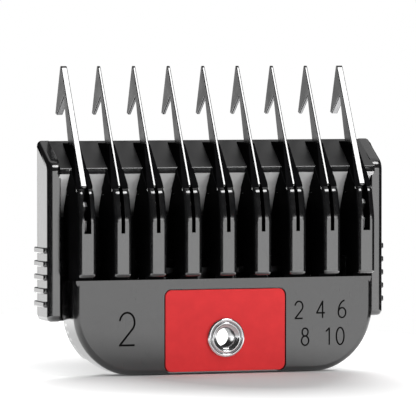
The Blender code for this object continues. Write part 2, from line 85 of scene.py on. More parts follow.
# Rivet and its recess
RIVET_LOW, RIVET_HIGH = node_box("eyelet")
RIVET_Z = (RIVET_LOW.z + RIVET_HIGH.z) / 2
RIVET_FLANGE_R = RIVET_HIGH.x
RIVET_BARREL_R = 1.95
RIVET_BORE_R = 1.42
RIVET_GAP = 0.08
RECESS_R = 4.4
RECESS_FLOOR_Y = FRONT + 2.6

# Tines and pillars
TINE_COUNT = 9
TINE_BOXES = [node_box("tine_%d" % (i + 1)) for i in range(TINE_COUNT)]
TINE_X = [(low.x + high.x) / 2 for low, high in TINE_BOXES]
SLOT_GAP = 0.05
SLOT_BOTTOM = 21.4
SLOT_BACK_Y = FRONT + 3.3
PILLAR_HALF_W = 1.4
PILLAR_CORNER_R = 0.56
FIN_HALF_W = 1.15
PILLAR_BOTTOM = 14.8
PILLAR_ROOT_BOTTOM = 13.6
PILLAR_FACE_Y = FRONT - 1.45
FIN_BOTTOM = 17.3
EYE_Y = FRONT + 1.55
EYE_Z = 25.2
EYE_R = 1.35
PIN_R = 0.6
PIN_GAP = 0.05
PIN_HALF_L = 1.05

# Deck, its web and the blade seat
LIP_Y = FRONT + 2.6
LIP_LEAN = 0.22
LIP_TOP = 31.1
LIP_BOTTOM = 30.2
DECK_BACK_Y = FRONT + 9.4
DECK_CREST_Y = DECK_BACK_Y - 0.3
DECK_TOP = 35.1
SEAT_Y = FRONT + 7.4
SEAT_TOP = 28.0
DECK_SLOPE = (DECK_TOP - LIP_TOP) / (DECK_CREST_Y - LIP_Y)
WEB_FRONT = FRONT + 6.8
WEB_BOTTOM = FIN_BOTTOM - 0.6
WEB_CURVE_START = 23.4
WEB_CURVE_HANDLE = 26.3
PANEL_FRONT = FRONT + 6.6

# Side walls with finger grips
WALL_OUTER = 26.9
WALL_INNER = 24.9
WALL_FRONT = FRONT + 3.42
WALL_BACK = FRONT + 9.5
WALL_BOTTOM = 8.05
GRIP_COUNT = 5
GRIP_PITCH = 2.02
GRIP_FIRST_Z = 10.65
GRIP_H = 0.9
GRIP_PROUD = 0.45
GRIP_ROOT = 0.5

# Rails, screws, springs, slide and cover behind the plate
RAIL_INNER = 12.3
OUTER_RAIL_INNER = 16.0
RAIL_W = 1.0
RAIL_BOTTOM = 1.6
RAIL_TOP = 18.9
RAIL_FRONT_UPPER = FRONT + 5.9
COVER_LOW, COVER_HIGH = node_box("rear_cover")
COVER_TOP = 14.0
COVER_NECK_HALF_W = 12.2
COVER_WINDOW = {"half_w": 5.0, "bottom": 2.0, "top": 9.6, "bottom_r": 0.8, "top_r": 1.4}
SLIDE_LOW, SLIDE_HIGH = node_box("slide_hook")
SLIDE_T = 0.8
SLIDE_WINDOW = {"half_w": 4.4, "bottom": 3.4, "top": 13.2, "bottom_r": 1.0, "top_r": 1.0}
HOOK_HALF_W = 7.0
HOOK_LIP_TOP = 4.2
SCREW_X = 14.6
SCREW_Z = (4.3, 12.3)
SCREW_R = 0.55
SCREW_GAP = 0.08
BOSS_HALF_W = 1.6
BOSS_HALF_H = 1.3
RAIL_GAP = 0.1
SPRING_X = 8.2
SPRING_R = 1.2
SPRING_WIRE_R = 0.18
SPRING_Y = FRONT + 5.15
SPRING_SLOT_HALF_W = 1.5
SPRING_SLOT_BOTTOM = 3.9
SPRING_SLOT_TOP = 15.0
LUG_BOTTOM = 4.3
LUG_TOP = 5.3
LUG_HALF_W = 1.2

# Camera: a long lens, turned to the comb's left and tilted a little down
CAMERA_YAW = 19.7
CAMERA_TILT = 2.0
CAMERA_DISTANCE = 0.7145
CAMERA_AIM = Vector((-2.8, FRONT, 25.0)) * MM
CAMERA_LENS = 411.5


# ---------------------------------------------------------------- mesh helpers


def object_from_bmesh(name, bm):
    bmesh.ops.recalc_face_normals(bm, faces=bm.faces)
    mesh = bpy.data.meshes.new(name)
    bm.to_mesh(mesh)
    bm.free()
    obj = bpy.data.objects.new(name, mesh)
    bpy.context.scene.collection.objects.link(obj)
    return obj


def prism(name, outline, place, low, high, rounding=None):
    """Extrude a closed outline between two planes; rounding is a function of the bmesh."""
    bm = bmesh.new()
    ring_low = [bm.verts.new(place(u, v, low)) for u, v in outline]
    ring_high = [bm.verts.new(place(u, v, high)) for u, v in outline]
    bm.faces.new(ring_low)
    bm.faces.new(ring_high[::-1])
    count = len(outline)
    for i in range(count):
        j = (i + 1) % count
        bm.faces.new((ring_low[j], ring_low[i], ring_high[i], ring_high[j]))
    bmesh.ops.recalc_face_normals(bm, faces=bm.faces)
    if rounding:
        rounding(bm)
    return object_from_bmesh(name, bm)


def prism_x(name, outline_yz, x_low, x_high, rounding=None):
    return prism(name, outline_yz, lambda y, z, x: (x, y, z), x_low, x_high, rounding)


def prism_y(name, outline_xz, y_low, y_high, rounding=None):
    return prism(name, outline_xz, lambda x, z, y: (x, y, z), y_low, y_high, rounding)


def round_edges(radius, segments, wanted):
    """A rounding that bevels the edges for which wanted(first point, second point) holds."""
    def rounding(bm):
        edges = [e for e in bm.edges if wanted(e.verts[0].co, e.verts[1].co)]
        bmesh.ops.bevel(bm, geom=edges, offset=radius, segments=segments, profile=0.5,
                        affect="EDGES", clamp_overlap=False)
    return rounding


def every_edge(first, second):
    return True


def box(name, low, high, radius=0.0, segments=2):
    outline = [(low[0], low[2]), (high[0], low[2]), (high[0], high[2]), (low[0], high[2])]
    rounding = round_edges(radius, segments, every_edge) if radius else None
    return prism_y(name, outline, low[1], high[1], rounding)


def circle(cx, cy, radius, steps=64):
    angles = [2 * pi * i / steps for i in range(steps)]
    return [(cx + radius * cos(a), cy + radius * sin(a)) for a in angles]


def arc(cx, cy, radius, start, end, steps):
    angles = [radians(start + (end - start) * i / steps) for i in range(steps + 1)]
    return [(cx + radius * cos(a), cy + radius * sin(a)) for a in angles]


def rounded_outline(half_w, bottom, top, bottom_r, top_r, steps=8):
    points = arc(half_w - bottom_r, bottom + bottom_r, bottom_r, -90, 0, steps)
    points += arc(half_w - top_r, top - top_r, top_r, 0, 90, steps)
    points += arc(-half_w + top_r, top - top_r, top_r, 90, 180, steps)
    points += arc(-half_w + bottom_r, bottom + bottom_r, bottom_r, 180, 270, steps)
    return points


def bezier(p0, p1, p2, steps):
    points = []
    for i in range(steps + 1):
        t = i / steps
        weights = ((1 - t) ** 2, 2 * t * (1 - t), t ** 2)
        points.append(tuple(sum(w * p[k] for w, p in zip(weights, (p0, p1, p2))) for k in (0, 1)))
    return points


def soften(outline, radii, steps=6):
    """Replace each corner of an outline by a smooth curve that starts radius away from it."""
    points = []
    count = len(outline)
    for i, reach in enumerate(radii):
        corner = Vector(outline[i])
        if reach <= 0:
            points.append(tuple(corner))
            continue
        before = (Vector(outline[i - 1]) - corner).normalized() * reach
        after = (Vector(outline[(i + 1) % count]) - corner).normalized() * reach
        points += bezier(corner + before, corner, corner + after, steps)
    return points


def yz(*pairs):
    return [(FRONT + y, z) for y, z in pairs]


def evaluated_copy(obj):
    bpy.context.view_layer.update()
    evaluated = obj.evaluated_get(bpy.context.evaluated_depsgraph_get())
    return bpy.data.meshes.new_from_object(evaluated)


def apply_boolean(target, tool, operation):
    modifier = target.modifiers.new(operation, "BOOLEAN")
    modifier.operation = operation
    modifier.solver = "MANIFOLD"
    modifier.object = tool
    mesh = evaluated_copy(target)
    target.modifiers.remove(modifier)
    old = target.data
    target.data = mesh
    bpy.data.meshes.remove(old)
    mesh.name = target.name
    bpy.data.objects.remove(tool, do_unlink=True)


def join(target, *tools):
    for tool in tools:
        apply_boolean(target, tool, "UNION")


def cut(target, *tools):
    for tool in tools:
        apply_boolean(target, tool, "DIFFERENCE")


def turned_y(name, profile, x_mid, z_mid, steps=96):
    """Ring turned about an axis along Y; profile is a closed loop of (radius, y)."""
    bm = bmesh.new()
    rings = []
    for i in range(steps):
        c, s = cos(2 * pi * i / steps), sin(2 * pi * i / steps)
        rings.append([bm.verts.new((x_mid + r * c, y, z_mid + r * s)) for r, y in profile])
    for i in range(steps):
        ring, following = rings[i], rings[(i + 1) % steps]
        for j in range(len(profile)):
            k = (j + 1) % len(profile)
            bm.faces.new((ring[j], following[j], following[k], ring[k]))
    return object_from_bmesh(name, bm)


def finish_surface(obj, sharp_angle=38):
    """Scale to metres, then smooth shading with true creases; wide faces stay flat."""
    mesh = obj.data
    bm = bmesh.new()
    bm.from_mesh(mesh)
    bmesh.ops.remove_doubles(bm, verts=bm.verts, dist=0.0005)
    bmesh.ops.dissolve_degenerate(bm, edges=bm.edges, dist=0.0005)
    bmesh.ops.scale(bm, vec=(MM, MM, MM), verts=bm.verts)
    bm.to_mesh(mesh)
    bm.free()
    mesh.shade_smooth()
    mesh.set_sharp_from_angle(angle=radians(sharp_angle))
    weighted = obj.modifiers.new("weighted_normal", "WEIGHTED_NORMAL")
    weighted.keep_sharp = True
    weighted.mode = "FACE_AREA"
    weighted.weight = 80


def dress(obj, body, nodes, slot, *materials):
    """Give a finished piece its materials and body, and hide its CAD nodes; slot is not used."""
    obj.data.materials.clear()
    for material in materials:
        obj.data.materials.append(material)
    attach(obj, body)
    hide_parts(*nodes)
    return obj


# ------------------------------------------------------------------- materials


class Nodes:
    """Short way to add and link shader nodes in one material."""

    def __init__(self, name):
        self.material = bpy.data.materials.new(name)
        self.material.use_nodes = True
        self.tree = self.material.node_tree
        self.shader = self.tree.nodes["Principled BSDF"]

    def add(self, kind, settings=None, **inputs):
        node = self.tree.nodes.new(kind)
        for key, value in (settings or {}).items():
            setattr(node, key, value)
        for key, value in inputs.items():
            self.put(node.inputs[key.replace("_", " ")], value)
        return node

    def put(self, socket, value):
        if isinstance(value, bpy.types.NodeSocket):
            self.tree.links.new(value, socket)
        else:
            socket.default_value = value

    def constants(self, **values):
        for key, value in values.items():
            self.shader.inputs[key.replace("_", " ")].default_value = value

    def millimetres(self, scale=(1, 1, 1), rotation=(0, 0, 0), location=(0, 0, 0)):
        """Object coordinates, in millimetres, stretched by scale."""
        coordinates = self.add("ShaderNodeTexCoord")
        mapping = self.add("ShaderNodeMapping")
        self.put(mapping.inputs["Vector"], coordinates.outputs["Object"])
        mapping.inputs["Scale"].default_value = [s / MM for s in scale]
        mapping.inputs["Rotation"].default_value = rotation
        mapping.inputs["Location"].default_value = location
        return mapping.outputs["Vector"]

    def noise(self, vector, scale, detail=4.0, roughness=0.55):
        node = self.add("ShaderNodeTexNoise", None, Scale=scale, Detail=detail, Roughness=roughness)
        self.put(node.inputs["Vector"], vector)
        return node.outputs["Fac"]

    def spread(self, value, low, high, from_low=0.3, from_high=0.7):
        node = self.add("ShaderNodeMapRange")
        self.put(node.inputs["Value"], value)
        node.inputs["From Min"].default_value = from_low
        node.inputs["From Max"].default_value = from_high
        node.inputs["To Min"].default_value = low
        node.inputs["To Max"].default_value = high
        return node.outputs["Result"]

    def blend_colours(self, factor, first, second):
        node = self.add("ShaderNodeMix", {"data_type": "RGBA"})
        self.put(node.inputs[0], factor)
        self.put(node.inputs[6], first)
        self.put(node.inputs[7], second)
        return node.outputs[2]

    def bump(self, height, strength, distance, normal=None):
        node = self.add("ShaderNodeBump", None, Strength=strength, Distance=distance)
        self.put(node.inputs["Height"], height)
        if normal is not None:
            self.put(node.inputs["Normal"], normal)
        return node.outputs["Normal"]

    def maths(self, operation, first, second):
        node = self.add("ShaderNodeMath", {"operation": operation})
        self.put(node.inputs[0], first)
        self.put(node.inputs[1], second)
        return node.outputs["Value"]


def black_plastic(name, ior, coat, rough_low, rough_high):
    """Black moulding: fine sink marks, a faint grain and light handling marks."""
    n = Nodes(name)
    n.constants(IOR=ior, Coat_Weight=coat, Coat_IOR=1.6, Coat_Roughness=0.06)
    plain = n.millimetres()
    flow = n.noise(n.millimetres((0.25, 0.25, 0.06)), 1.0, 3.0)
    grain = n.noise(plain, 9.0, 3.0)
    smears = n.noise(plain, 0.45, 5.0, 0.6)
    scratches = n.noise(n.millimetres((9.0, 9.0, 0.5), (0, 0.35, 0)), 1.0, 2.0, 0.4)
    scratch_mask = n.spread(scratches, 0.0, 1.0, 0.66, 0.72)
    colour = n.blend_colours(n.spread(smears, 0, 1), (0.0035, 0.0035, 0.004, 1), (0.007, 0.007, 0.0075, 1))
    n.put(n.shader.inputs["Base Color"], colour)
    smear_rough = n.spread(smears, rough_low, rough_high)
    rough = n.maths("ADD", smear_rough, n.maths("MULTIPLY", scratch_mask, 0.08))
    n.put(n.shader.inputs["Roughness"], rough)
    sink = n.bump(flow, 0.25, 0.02 * MM)
    n.put(n.shader.inputs["Normal"], n.bump(grain, 0.12, 0.004 * MM, sink))
    return n.material


def painted_underside_reflection():
    """Painted reflection of the white floor on the deck's sloping underside: a pale grey base colour that
    fades to black lower down.
    """
    n = Nodes("black_plastic_painted_reflection")
    n.constants(IOR=1.5)
    plain = n.millimetres()
    reflection_mottle = n.noise(plain, 0.8, 4.0)
    pale = n.blend_colours(reflection_mottle, (0.7, 0.7, 0.7, 1), (0.8, 0.8, 0.8, 1))
    split = n.add("ShaderNodeSeparateXYZ")
    n.put(split.inputs[0], plain)
    fade = n.spread(split.outputs["Z"], 0.0, 1.0, 24.2, 27.0)
    n.put(n.shader.inputs["Base Color"], n.blend_colours(fade, (0.004, 0.004, 0.004, 1), pale))
    n.put(n.shader.inputs["Roughness"], n.spread(reflection_mottle, 0.35, 0.5))
    n.put(n.shader.inputs["Normal"], n.bump(reflection_mottle, 0.1, 0.01 * MM))
    return n.material


def mark_black():
    """Rough, unlit floor of the engraved numerals."""
    n = Nodes("mark_black")
    n.constants(Specular_IOR_Level=0.15)
    mottle = n.noise(n.millimetres(), 6.0, 3.0)
    colour = n.blend_colours(mottle, (0.002, 0.002, 0.002, 1), (0.008, 0.008, 0.008, 1))
    n.put(n.shader.inputs["Base Color"], colour)
    n.put(n.shader.inputs["Roughness"], n.spread(mottle, 0.6, 0.8))
    n.put(n.shader.inputs["Normal"], n.bump(mottle, 0.4, 0.01 * MM))
    return n.material


def red_plastic():
    n = Nodes("red_plastic")
    n.constants(IOR=1.28)
    plain = n.millimetres()
    mottle = n.noise(plain, 0.5, 4.0)
    grain = n.noise(plain, 14.0, 3.0)
    colour = n.blend_colours(n.spread(mottle, 0, 1), (0.74, 0.034, 0.038, 1), (0.80, 0.042, 0.046, 1))
    n.put(n.shader.inputs["Base Color"], colour)
    n.put(n.shader.inputs["Roughness"], n.spread(mottle, 0.38, 0.5))
    n.put(n.shader.inputs["Normal"], n.bump(grain, 0.35, 0.006 * MM))
    return n.material


def steel(name, light, dark, rough_low, rough_high, grain_scale, strength):
    """Drawn or ground steel; grain_scale stretches the brush lines."""
    n = Nodes(name)
    n.constants(Metallic=1.0)
    lines = n.noise(n.millimetres(grain_scale), 1.0, 4.0, 0.6)
    cloud = n.noise(n.millimetres(), 0.35, 3.0)
    colour = n.blend_colours(n.spread(lines, 0, 1), (*dark, 1), (*light, 1))
    n.put(n.shader.inputs["Base Color"], colour)
    n.put(n.shader.inputs["Roughness"], n.spread(cloud, rough_low, rough_high))
    n.put(n.shader.inputs["Normal"], n.bump(lines, strength, 0.004 * MM))
    return n.material


# Name, light and dark colour, lowest and highest roughness, stretch of the brush lines, depth
STEELS = (
    ("tine_steel_sides", (0.42, 0.42, 0.425), (0.37, 0.37, 0.375), 0.3, 0.42, (2.5, 2.5, 0.12), 0.25),
    ("tine_steel_edges", (0.2, 0.2, 0.2), (0.18, 0.18, 0.18), 0.12, 0.2, (3.0, 3.0, 0.3), 0.1),
    # The tine's dark and bright steels are copies of one steel: painted shade and painted glints.
    ("tine_steel_dark", (0.05, 0.05, 0.05), (0.03, 0.03, 0.03), 0.3, 0.4, (2.0, 2.0, 2.0), 0.2),
    ("tine_steel_bright", (0.95, 0.95, 0.95), (0.9, 0.9, 0.9), 0.5, 0.65, (2.0, 2.0, 2.0), 0.2),
    # Near-black steel for the cover and spring guide pins: painted shade, for they sit deep in the dark
    # hollow behind the pillars.
    ("shade_painted_steel", (0.07, 0.07, 0.07), (0.04, 0.04, 0.04), 0.25, 0.4, (0.15, 3.0, 3.0), 0.3),
    ("plate_steel", (0.35, 0.35, 0.36), (0.28, 0.28, 0.29), 0.22, 0.34, (0.15, 3.0, 3.0), 0.3),
    ("chrome", (0.8, 0.8, 0.81), (0.74, 0.74, 0.75), 0.14, 0.2, (1.5, 1.5, 1.5), 0.05),
    ("spring_wire", (0.3, 0.3, 0.31), (0.22, 0.22, 0.23), 0.2, 0.32, (2.0, 2.0, 2.0), 0.2),
)


# ------------------------------------------------------------------ comb body

# Material slots of the moulding, and the stretch of the plate's front that holds numerals
GLOSS, MARK, SATIN, MATT_PAINTED_SHADE, PAINTED_REFLECTION, FRONT_GLOSS = range(6)
MARK_BOTTOM = 3.6
MARK_TOP = 11.4
MARK_SPANS = ((-17.5, -12.5), (10.8, 20.6))


def plate_profile_piece():
    outline = rounded_outline(PLATE_HALF_W, 0, PLATE_TOP, PLATE_CORNER_R, 0.3, 14)
    back = FRONT + PLATE_T

    def front_edge(first, second):
        at_top = min(first.z, second.z) > PLATE_TOP - 0.01
        return first.y < FRONT + 0.01 and second.y < FRONT + 0.01 and not at_top

    def back_edge(first, second):
        return first.y > back - 0.01 and second.y > back - 0.01

    def rounding(bm):
        round_edges(0.1, 2, back_edge)(bm)
        round_edges(PLATE_EDGE_R, 8, front_edge)(bm)
    return prism_y("plate", outline, FRONT, back, rounding)


def plate_rim(sign):
    """Thicker end of the plate, behind its face."""
    centre_x = PLATE_HALF_W - PLATE_CORNER_R
    radius = PLATE_CORNER_R - RIM_INSET
    start = -degrees(acos((RIM_START_X - centre_x) / radius))
    top = PLATE_TOP - 0.4
    edge = arc(centre_x, PLATE_CORNER_R, radius, start, 0, 14)
    edge += [(PLATE_HALF_W - RIM_INSET, top), (RIM_START_X, top)]
    back = FRONT + PLATE_T
    return prism_y("plate_rim", [(sign * x, z) for x, z in edge], back - 1.0, back + RIM_PROUD)


def pillar(x_mid):
    """Upright with a long soft bend to its sloping shoulder, and rounded front corners."""
    root_front = FRONT + 0.7
    outline = [(PILLAR_FACE_Y, PILLAR_BOTTOM), (PILLAR_FACE_Y, 23.6)]
    outline += yz((-0.5, 27.6), (0.75, 28.75), (3.2, 31.3), (3.6, 27), (3.6, PILLAR_ROOT_BOTTOM))
    outline += [(root_front, PILLAR_ROOT_BOTTOM), (root_front, PILLAR_BOTTOM)]
    reach = [0.6, 0.7, 0.6, 0, 0, 0, 0, 0, 0]
    outline = soften(outline, reach, 6)
    limit = FRONT + 0.3

    def front_corner(first, second):
        same_side = abs(first.x - second.x) < 0.01
        return same_side and first.y < limit and second.y < limit

    rounding = round_edges(PILLAR_CORNER_R, 4, front_corner)
    return prism_x("pillar", outline, x_mid - PILLAR_HALF_W, x_mid + PILLAR_HALF_W, rounding)


def fin(x_mid):
    outline = [(LIP_Y, FIN_BOTTOM), (SEAT_Y, FIN_BOTTOM), (SEAT_Y, SEAT_TOP)]
    outline += yz((9.3, 34.9), (5, 32), (2.6, 29))
    return prism_x("fin", outline, x_mid - FIN_HALF_W, x_mid + FIN_HALF_W)


def hood(x_mid):
    """Gusset from a pillar's shoulder up to the deck's rear edge, around the tine."""
    ring = (
        (0.46, FRONT + 0.8, 28.9),
        (0.46, FRONT + 3.75, 34.35),
        (0.5, FRONT + 4.0, 34.6),
        (0.64, FRONT + 7.1, 34.7),
        (0.74, DECK_BACK_Y - 0.4, DECK_TOP - 0.35),
        (1.36, LIP_Y + 0.5, LIP_TOP - 0.9),
        (1.36, FRONT - 0.1, 27.6),
        (1.36, FRONT + 4.5, 27.0),
    )
    bm = bmesh.new()
    for x, y, z in ring:
        bm.verts.new((x_mid - x, y, z))
        bm.verts.new((x_mid + x, y, z))
    bmesh.ops.convex_hull(bm, input=bm.verts)
    loose = [v for v in bm.verts if not v.link_faces]
    bmesh.ops.delete(bm, geom=loose, context="VERTS")
    bmesh.ops.dissolve_limit(bm, angle_limit=radians(2), verts=bm.verts, edges=bm.edges)
    bmesh.ops.bevel(bm, geom=list(bm.edges), offset=0.06, segments=2, profile=0.5, affect="EDGES")
    return object_from_bmesh("hood", bm)


def deck():
    outline = [(LIP_Y, LIP_BOTTOM), (LIP_Y + LIP_LEAN, LIP_TOP), (DECK_CREST_Y, DECK_TOP)]
    outline += [(DECK_BACK_Y + 0.1, DECK_TOP - 0.4)]
    outline += [(SEAT_Y, SEAT_TOP), (SEAT_Y, WEB_BOTTOM), (WEB_FRONT, WEB_BOTTOM)]
    reach = [0, 0.16, 0.2, 0.15, 0.1, 0, 0]
    outline = soften(outline, reach, 4)
    start = (WEB_FRONT, WEB_CURVE_START)
    handle = (WEB_FRONT, WEB_CURVE_HANDLE)
    outline += bezier(start, handle, (LIP_Y + BITE, LIP_BOTTOM), 20)
    return prism_x("deck", outline, -WALL_INNER - BITE, WALL_INNER + BITE)


def wall(sign):
    front_top = LIP_TOP + DECK_SLOPE * (WALL_FRONT - LIP_Y)
    outline = [
        (WALL_FRONT, WALL_BOTTOM), (WALL_FRONT, front_top), (DECK_CREST_Y, DECK_TOP),
        (WALL_BACK, DECK_TOP - 0.3), (WALL_BACK, WALL_BOTTOM),
    ]
    outline = soften(outline, [1.0, 1.2, 0, 0, 1.0], 6)
    outer = sign * WALL_OUTER
    inner = sign * WALL_INNER

    def outer_edge(first, second):
        return abs(first.x - outer) < 0.01 and abs(second.x - outer) < 0.01

    def inner_edge(first, second):
        return abs(first.x - inner) < 0.01 and abs(second.x - inner) < 0.01

    def rounding(bm):
        round_edges(0.2, 3, inner_edge)(bm)
        round_edges(0.75, 6, outer_edge)(bm)
    return prism_x("wall", outline, *sorted((inner, outer)), rounding)


def grips(sign):
    pieces = []
    for i in range(GRIP_COUNT):
        z_mid = GRIP_FIRST_Z + i * GRIP_PITCH
        x_sides = sorted((sign * (WALL_OUTER - GRIP_ROOT), sign * (WALL_OUTER + GRIP_PROUD)))
        low = (x_sides[0], WALL_FRONT + 0.9, z_mid - GRIP_H / 2)
        high = (x_sides[1], WALL_BACK - 0.3, z_mid + GRIP_H / 2)
        pieces.append(box("grip", low, high, 0.2, 3))
    return pieces


def rear_frame(sign):
    """Rails, panels and screw bosses on one side of the back."""
    back = FRONT + PLATE_T - BITE
    rail_back = COVER_LOW.y - RAIL_GAP
    upper_bottom = COVER_TOP + 0.2
    inner = sorted((sign * RAIL_INNER, sign * (RAIL_INNER + RAIL_W)))
    outer = sorted((sign * OUTER_RAIL_INNER, sign * (OUTER_RAIL_INNER + RAIL_W)))
    pieces = [
        box("rail", (inner[0], back, RAIL_BOTTOM), (inner[1], rail_back, PLATE_TOP)),
        box("rail", (outer[0], back, RAIL_BOTTOM), (outer[1], SEAT_Y, PLATE_TOP), 0.1),
    ]
    for x_low, x_high in (inner, outer):
        low = (x_low, RAIL_FRONT_UPPER, upper_bottom)
        pieces.append(box("upper_rail", low, (x_high, SEAT_Y, RAIL_TOP), 0.12))
    tie = sorted((sign * (RAIL_INNER + RAIL_W / 2), sign * (WALL_INNER + BITE)))
    low = (tie[0], PANEL_FRONT, upper_bottom)
    pieces.append(box("upper_panel", low, (tie[1], SEAT_Y, FIN_BOTTOM + BITE)))
    tie = sorted((sign * (OUTER_RAIL_INNER + RAIL_W / 2), sign * (WALL_INNER + BITE)))
    low = (tie[0], PANEL_FRONT, WALL_BOTTOM)
    pieces.append(box("side_panel", low, (tie[1], SEAT_Y, upper_bottom + BITE)))
    for z_mid in SCREW_Z:
        low = (sign * SCREW_X - BOSS_HALF_W, back, z_mid - BOSS_HALF_H)
        high = (sign * SCREW_X + BOSS_HALF_W, rail_back, z_mid + BOSS_HALF_H)
        pieces.append(box("boss", low, high))
    return pieces


def bow(cx, cy, rx, ry, start, end, steps=10):
    """Points along part of an ellipse."""
    angles = [radians(start + (end - start) * i / steps) for i in range(steps + 1)]
    return [(cx + rx * cos(a), cy + ry * sin(a)) for a in angles]


# Centre lines of plain numerals, 1 high; no stroke crosses itself
NUMERALS = {
    "0": [bow(0.3, 0.5, 0.3, 0.5, 85, 275), bow(0.3, 0.5, 0.3, 0.5, -95, 95)],
    "1": [[(0.36, 0.0), (0.36, 1.0)], [(0.38, 1.0), (0.1, 0.78)]],
    "2": [bow(0.3, 0.7, 0.3, 0.3, 170, -35) + [(0.0, 0.0)], [(-0.03, 0.0), (0.6, 0.0)]],
    "4": [[(0.46, 0.0), (0.46, 1.0)], [(0.48, 1.0), (0.0, 0.3)], [(-0.03, 0.3), (0.64, 0.3)]],
    "6": [bow(0.3, 0.29, 0.29, 0.29, -5, 185), bow(0.3, 0.29, 0.29, 0.29, 175, 365),
          bow(0.52, 0.3, 0.51, 0.7, 178, 92)],
    "8": [bow(0.3, 0.77, 0.23, 0.23, -5, 185), bow(0.3, 0.77, 0.23, 0.23, 175, 365),
          bow(0.3, 0.27, 0.28, 0.27, -5, 185), bow(0.3, 0.27, 0.28, 0.27, 175, 365)],
}


def ribbon(points, half_w):
    """Outline of a stroke of even width along a line of points."""
    points = [Vector(p) for p in points]
    left, right = [], []
    for i, point in enumerate(points):
        along = (points[min(i + 1, len(points) - 1)] - points[max(i - 1, 0)]).normalized()
        across = Vector((-along.y, along.x)) * half_w
        left.append(tuple(point + across))
        right.append(tuple(point - across))
    return left + right[::-1]


def engrave(body, text, left, bottom, height, pitch, half_w, depth):
    """Cut a row of plain numerals into the plate's front."""
    for place, digit in enumerate(text):
        for stroke in NUMERALS.get(digit, []):
            line = [(left + place * pitch + 0.8 * u * height, bottom + v * height) for u, v in stroke]
            cut(body, prism_y("stroke", ribbon(line, half_w), FRONT - CLEAR, FRONT + depth))


def cut_openings(body):
    """Pocket, rivet hole and recess, spring grooves with their lugs, and the tines' slots."""
    half_w = COLOUR_HIGH.x + PLATE_GAP
    bottom = COLOUR_LOW.z - PLATE_GAP
    pocket = rounded_outline(half_w, bottom, COLOUR_HIGH.z + PLATE_GAP, POCKET_R, POCKET_R)
    cut(body, prism_y("pocket", pocket, FRONT - CLEAR, FRONT + POCKET_DEPTH))
    back = FRONT + PLATE_T + CLEAR
    hole = circle(0, RIVET_Z, RIVET_BARREL_R + RIVET_GAP)
    cut(body, prism_y("rivet_hole", hole, FRONT - CLEAR, back))
    cut(body, prism_y("recess", circle(0, RIVET_Z, RECESS_R), RECESS_FLOOR_Y, back))
    for sign in (-1, 1):
        x_mid = sign * SPRING_X
        low = (x_mid - SPRING_SLOT_HALF_W, FRONT + 3.6, LUG_TOP)
        high = (x_mid + SPRING_SLOT_HALF_W, back, PLATE_TOP + CLEAR)
        cut(body, box("groove", low, high))
        low = (x_mid - LUG_HALF_W, FRONT + PLATE_T - BITE, LUG_BOTTOM)
        join(body, box("lug", low, (x_mid + LUG_HALF_W, COVER_LOW.y - RAIL_GAP, LUG_TOP)))
        for z_mid in SCREW_Z:
            hole = circle(sign * SCREW_X, z_mid, SCREW_R + SCREW_GAP, 24)
            cut(body, prism_y("screw_hole", hole, COVER_LOW.y - 3.2, COVER_LOW.y + CLEAR))
    for x_mid, (low, high) in zip(TINE_X, TINE_BOXES):
        half = (high.x - low.x) / 2 + SLOT_GAP
        above = FRONT - 3
        slot = [(above, SLOT_BOTTOM), (SLOT_BACK_Y, SLOT_BOTTOM)]
        slot += yz((3.3, 27.2), (8.9, 37.5)) + [(above, 37.5)]
        cut(body, prism_x("tine_slot", slot, x_mid - half, x_mid + half))
        pin = circle(EYE_Y, EYE_Z, PIN_R + PIN_GAP, 24)
        half_l = PIN_HALF_L + PIN_GAP
        cut(body, prism_x("pin_hole", pin, x_mid - half_l, x_mid + half_l))


def body_finish(centre, normal):
    """Material slot of a face of the moulding, from where it lies and which way it faces."""
    x, y, z = centre.x, centre.y - FRONT, centre.z
    in_span = any(low < x < high for low, high in MARK_SPANS)
    if 0.02 < y < 0.5 and MARK_BOTTOM < z < MARK_TOP and in_span:
        return MARK
    below_pillars = z < PLATE_TOP + 0.05
    # The plate's front below the pillars takes a less reflective copy of the gloss: painted shade, a
    # little darker than the pillars facing the same way.
    if y < 0.9 and below_pillars:
        return FRONT_GLOSS
    if abs(x) > WALL_INNER + 0.02 or below_pillars or y > 9.5:
        return GLOSS
    ahead_of_deck = z - LIP_TOP > (centre.y - LIP_Y) * DECK_SLOPE + 0.2
    if z > LIP_TOP - 0.1 and normal.z > 0.4 and not ahead_of_deck:
        return SATIN
    # Hoods and the sides of pillars and fins take the matt copy, which reflects almost nothing: painted
    # shade.
    from_tine = min(abs(x - x_mid) for x_mid in TINE_X)
    in_hood = z > 28.25 and from_tine < 1.4 and y > 0.1
    on_side = abs(normal.x) > 0.8 and z < LIP_TOP
    if in_hood or on_side:
        return MATT_PAINTED_SHADE
    # The deck's sloping underside takes the pale painted reflection of the floor.
    if 2.5 < y < 7.3 and 23.5 < z < LIP_BOTTOM + 0.1 and normal.z < -0.05:
        return PAINTED_REFLECTION
    # The hollow behind the pillars also takes the matt copy: painted shade.
    return MATT_PAINTED_SHADE if 0.6 < y < 6.5 and z < LIP_BOTTOM else GLOSS


def make_body(materials):
    """The whole black moulding; materials are in the order of the slots above."""
    body = plate_profile_piece()
    body.name = body.data.name = "body_moulding"
    join(body, deck())
    for sign in (-1, 1):
        join(body, plate_rim(sign), wall(sign), *grips(sign), *rear_frame(sign))
    for x_mid in TINE_X:
        join(body, fin(x_mid), pillar(x_mid), hood(x_mid))
    cut_openings(body)
    engrave(body, "2", -16.8, 4.6, 4.9, 0, 0.15, 0.3)
    engrave(body, "2 4 6", 11.2, 8.1, 2.6, 1.75, 0.12, 0.25)
    engrave(body, "8 10", 12.2, 4.0, 2.6, 1.9, 0.12, 0.25)
    finish_surface(body)
    dress(body, "comb", ["comb_body"], "black_plastic", *materials)
    for polygon in body.data.polygons:
        polygon.material_index = body_finish(polygon.center / MM, polygon.normal)
    return body


# --------------------------------------------------------- tines and small parts

